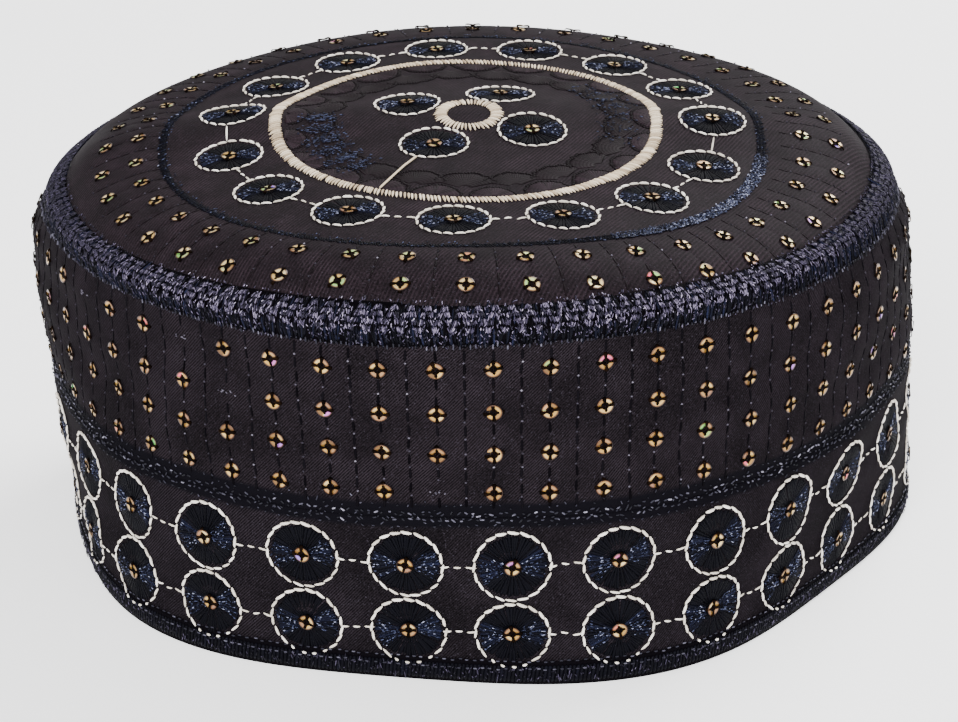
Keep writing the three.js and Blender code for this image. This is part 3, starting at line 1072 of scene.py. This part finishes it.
def wreathStitches():
    # fan leaves under a row of low mounds along the cream ring, dark outlines, and blue painted glints at the
    # sides, where the threads catch the light
    edges = {
        "wreath_leaf_outlines": fan("wreath_leaves", wreath["leaf"], 0.5),
        "wreath_mound_outlines": fan("wreath_mounds", wreath["mound"], 0.0)}
    look = thread(leafThread, width=0.0009, height=0.0003, over=0.00004, stops=dash)
    for name, (x, y) in edges.items():
        a, b = (x[:, :-1].ravel(), y[:, :-1].ravel()), (x[:, 1:].ravel(), y[:, 1:].ravel())
        stitches(name, crownFace, a, b, look, 0.2 * dice.random(len(a[0])))
    # painted glints: blue strands clumped at the left and right sides
    count, clump = 900, 0.16
    right = dice.random(count) < 0.25
    direction = np.where(right, dice.uniform(1.25, 2.25, count), dice.uniform(-1.68, -0.75, count))
    direction = np.round(direction / clump) * clump + dice.normal(0, 0.035, count)
    x, y = onCircle(np.clip(dice.normal(0.0335, 0.0026, count), 0.0285, 0.0385), direction)
    half = dice.uniform(0.0003, 0.0009, count) / 2
    end = x + half, y + dice.normal(0, 0.0001, count)
    tone = dice.random(count) * np.where(right, 0.65, 0.75)
    stitches("wreath_glints", crownFace, (x - half, y), end, {**glintLook, "over": 0.00028}, tone)


wreathStitches()

# Two jump threads beside the left inner medallion, each from x, y to x, y.
jumps = np.array([(-0.0113, -0.0206, -0.0191, -0.0372), (-0.0206, -0.0368, -0.0213, -0.0393)])
jumpLook = thread(
    creamThread, width=0.0006, height=0.0005, arch=0.0003, over=0.0004, sides=5,
    stops=(0.05, 0.35, 0.65, 0.95))
stitches("jump_threads", crownFace, jumps.T[:2], jumps.T[2:], jumpLook)
print("rings and wreath made")

overcast = {"count": 1100, "lean": 0.0006, "top": 0.0037, "bottom": -0.0042, "wander": 0.0004}
zigzag = {"pitch": 0.0034, "strands": 4, "parts": 4, "apart": 0.00030, "low": -0.0012, "high": 0.0036}
rimFleck = {"count": 9000, "middle": 0.0004, "spread": 0.0022, "low": -0.0042, "high": 0.0044, "slant": 1.15}
tick = {"count": 520, "top": -0.0036, "bottom": -0.0044, "wander": 0.0003}


def rimOvercast():
    # dark slanted stitches over the whole roll
    count, wander = overcast["count"], overcast["wander"]
    x = evenly(count) * unit
    lean = dice.normal(0, overcast["lean"], count)
    top = overcast["top"] + dice.normal(0, wander, count)
    bottom = overcast["bottom"] + dice.normal(0, wander, count)
    look = thread(navyThread, width=0.00056, height=0.0004, over=0.00008, stops=(0.1, 0.36, 0.64, 0.9))
    stitches("rim_overcast", rimFace, (x - lean, bottom), (x + lean, top), look, dice.random(count) * 0.9)


def rimZigzag():
    # lilac strands side by side up and down the roll's upper side, each cut into short parts whose tones
    # paint broken highlights, paler at the front by lit
    pitch, strands, parts = zigzag["pitch"], zigzag["strands"], zigzag["parts"]
    low, rise = zigzag["low"], zigzag["high"] - zigzag["low"]
    count = int(turn * unit / pitch)
    each = np.arange(count * strands * 2 * parts)
    part, strand = each % parts, each // parts % (strands * 2)
    foot = (each // (parts * strands * 2) / count - 0.5) * turn * unit
    rising = strand < strands
    shift = (strand % strands - (strands - 1) / 2) * zigzag["apart"]
    wander = dice.normal(0, 0.00008, (4, len(each)))

    def spot(share, number):
        # the first half of a pitch goes up by share, the second comes down
        x = foot + pitch / 2 * np.where(rising, share, 1 + share) + shift + wander[number]
        return x, low + rise * np.where(rising, share, 1 - share) + wander[number + 2]

    look = thread(lilacThread, width=0.00026, height=0.00024, arch=0.00008, over=0.00034, stops=dash)
    # painted light: paler at the front, with painted broken highlights from each part's own tone
    lit = 0.68 + 0.32 * ease(np.cos(foot / unit), 0.2, 0.85)
    tone = (0.15 + 0.75 * dice.random(len(each))) * lit
    stitches("rim_zigzag", rimFace, spot(part / parts, 0), spot((part + 0.9) / parts, 1), look, tone)


def rimFlecks():
    # loose lilac flecks that lean either way, paler at the front by lit and darker lower down the roll,
    # painted light and painted shade
    count, slant = rimFleck["count"], rimFleck["slant"]
    x = dice.uniform(-0.5, 0.5, count) * turn * unit
    y = np.clip(dice.normal(rimFleck["middle"], rimFleck["spread"], count), rimFleck["low"], rimFleck["high"])
    angle = np.where(dice.random(count) < 0.5, slant, math.pi - slant) + dice.normal(0, 0.4, count)
    half = dice.uniform(0.0003, 0.0009, count) / 2
    dx, dy = np.cos(angle) * half, np.sin(angle) * half
    look = thread(lilacThread, width=0.00020, height=0.00020, arch=0.00008, over=0.00046)
    lit = 0.66 + 0.34 * ease(np.cos(x / unit), 0.2, 0.85)
    # painted shade: flecks dim lower down the roll; lit paints them paler at the front
    tone = (0.1 + 0.9 * dice.random(count)) * (1 - 0.22 * ease(-y, 0.0006, 0.0024)) * lit
    stitches("rim_flecks", rimFace, (x - dx, y - dy), (x + dx, y + dy), look, tone)


def rimTicks():
    # short pale ticks along the roll's lower edge
    count, wander = tick["count"], tick["wander"]
    x = evenly(count) * unit + dice.normal(0, 0.0001, count)
    look = thread(borderThread, width=0.00036, height=0.00036, arch=0.0001, over=0.0003, stops=dash)
    top = tick["top"] + dice.normal(0, wander, count)
    bottom = tick["bottom"] + dice.normal(0, wander, count)
    stitches("rim_ticks", rimFace, (x, top), (x, bottom), look, dice.random(count) * 0.8)


rimOvercast()
rimZigzag()
rimFlecks()
rimTicks()

hemOvercast = {"count": 640, "top": 0.0049, "bottom": 0.0007, "lean": 0.0003}
hemRow = {"count": 320, "half": 0.0005, "heights": {"hem_row_upper": 0.0056, "hem_row_lower": 0.0039}}
hemFleck = {"count": 1500, "low": 0.0012, "high": 0.0045, "half": 0.0002}


def hemStitches():
    # upright overcast over the binding, two dotted rows along its top and scattered violet flecks
    def along(count, height):
        # x, y at even steps round the wall, at a height over the floor
        return evenly(count) * unit, downAt(evenly(count), height)

    count, lean = hemOvercast["count"], hemOvercast["lean"]
    x, high = along(count, hemOvercast["top"])
    low = along(count, hemOvercast["bottom"])[1]
    look = thread(navyThread, width=0.0008, height=0.0003, arch=0.0001, sides=5, stops=(0.12, 0.5, 0.88))
    tone = 0.1 + 0.45 * dice.random(count)
    stitches("hem_overcast", hemFace, (x + lean, high), (x - lean, low), look, tone)
    count, half = hemRow["count"], hemRow["half"]
    look = thread(borderThread, width=0.00036, height=0.00034, arch=0.00014, over=0.0002, stops=dash)
    for name, height in hemRow["heights"].items():
        x, y = along(count, height)
        x, y = x + dice.normal(0, 0.0002, count), y + dice.normal(0, 0.00012, count)
        stitches(name, hemFace, (x - half, y), (x + half, y), look, 0.2 + 0.55 * dice.random(count))
    count, half = hemFleck["count"], hemFleck["half"]
    x, y = along(count, dice.uniform(hemFleck["low"], hemFleck["high"], count))
    tilt = dice.normal(0, 0.0004, count)
    look = thread(lilacThread, width=0.0002, height=0.0002, arch=0.0001, over=0.0003)
    tone = 0.7 * dice.random(count)
    stitches("hem_flecks", hemFace, (x - half, y - tilt), (x + half, y + tilt), look, tone)


hemStitches()
print("rim and hem stitches made")

floor = {"size": 8.0, "shade": (250, 250, 251), "glow": 0.9}


def paleFloor():
    # one flat square under the cap
    half, shade = floor["size"] / 2, colour(*floor["shade"])
    mesh = bpy.data.meshes.new("floor")
    corners = [(-half, -half, 0), (half, -half, 0), (half, half, 0), (-half, half, 0)]
    mesh.from_pydata(corners, [], [(0, 1, 2, 3)])
    material = Web("pale floor").finish(
        Base_Color=shade, Roughness=0.9, Emission_Color=shade, Emission_Strength=floor["glow"])
    mesh.materials.append(material)
    piece = bpy.data.objects.new("floor", mesh)
    bpy.context.scene.collection.objects.link(piece)


paleFloor()

# The camera at the photo's angle: place, pitch, yaw and roll solved from the rings and columns.
view = {
    "place": (-0.0027, -0.5442, 0.2531), "pitch": 21.47, "yaw": 0.223, "roll": 0.057,
    "lens": 93.95, "sensor": 36.0,
}


def photoCamera():
    # turned down by the pitch, aside by the yaw and round its own line of sight by the roll
    data = bpy.data.cameras.new("camera")
    data.lens, data.sensor_width, data.sensor_fit = view["lens"], view["sensor"], "HORIZONTAL"
    data.clip_start, data.clip_end = 0.01, 20.0
    camera = bpy.data.objects.new("camera", data)
    turned = (Matrix.Rotation(-math.radians(view["yaw"]), 4, "Z")
              @ Matrix.Rotation(math.radians(90 - view["pitch"]), 4, "X")
              @ Matrix.Rotation(math.radians(view["roll"]), 4, "Z"))
    camera.matrix_world = Matrix.Translation(view["place"]) @ turned
    bpy.context.scene.collection.objects.link(camera)
    bpy.context.scene.camera = camera


photoCamera()

lamps = (
    {"name": "key", "place": (-0.3, -1.2, 0.75), "size": 0.7, "power": 32.0},
    {"name": "fill", "place": (0.9, -0.9, 0.6), "size": 0.9, "power": 3.0},
    {"name": "back", "place": (0.6, 0.7, 1.0), "size": 0.8, "power": 26.0},
)
sky = {"shade": (1.0, 1.0, 1.0, 1.0), "strength": 1.0}


def softLamps():
    # square lamps that face the cap, in a pale even sky
    for lamp in lamps:
        data = bpy.data.lights.new(lamp["name"], "AREA")
        data.size, data.energy = lamp["size"], lamp["power"]
        light = bpy.data.objects.new(lamp["name"], data)
        aim = Vector(lamp["place"]) - Vector((0, 0, 0.05))
        facing = aim.to_track_quat("Z", "Y").to_matrix().to_4x4()
        light.matrix_world = Matrix.Translation(lamp["place"]) @ facing
        bpy.context.scene.collection.objects.link(light)
    world = bpy.data.worlds.new("studio")
    world.use_nodes = True
    background = world.node_tree.nodes["Background"]
    background.inputs[0].default_value = sky["shade"]
    background.inputs[1].default_value = sky["strength"]
    bpy.context.scene.world = world


softLamps()
